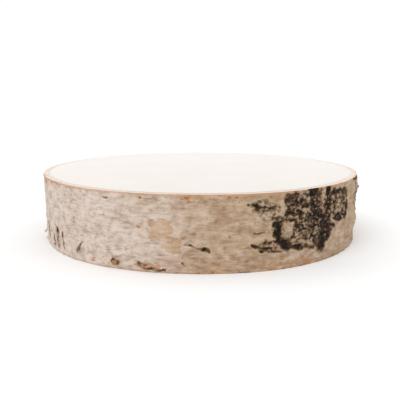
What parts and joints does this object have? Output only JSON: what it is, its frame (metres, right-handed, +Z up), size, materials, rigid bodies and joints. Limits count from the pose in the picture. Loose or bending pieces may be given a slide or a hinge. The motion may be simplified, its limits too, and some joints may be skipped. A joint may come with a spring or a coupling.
{
  "type": "birch wood slice",
  "caption": "Round slice sawn across a birch log, white bark left on, both faces sanded flat, lying on its underside.",
  "frame": {"origin": "middle of the underside's bounding box, on the surface that the slice rests on", "axes": "+Z up through the thickness, from the underside to the upper sawn face; -Y is the front, where the smooth pale bark is, and the black fissured patch is between -Y and +X"},
  "size_m": [0.2392, 0.2408, 0.05],
  "materials": {
    "sanded_wood": "pale end grain, sawn and sanded smooth, satin",
    "birch_bark": "natural birch bark, papery and matt, with dark lenticels and a black fissured patch"
  },
  "bodies": {
    "root": {"birch_slice": "sanded_wood"}
  },
  "joints": []
}
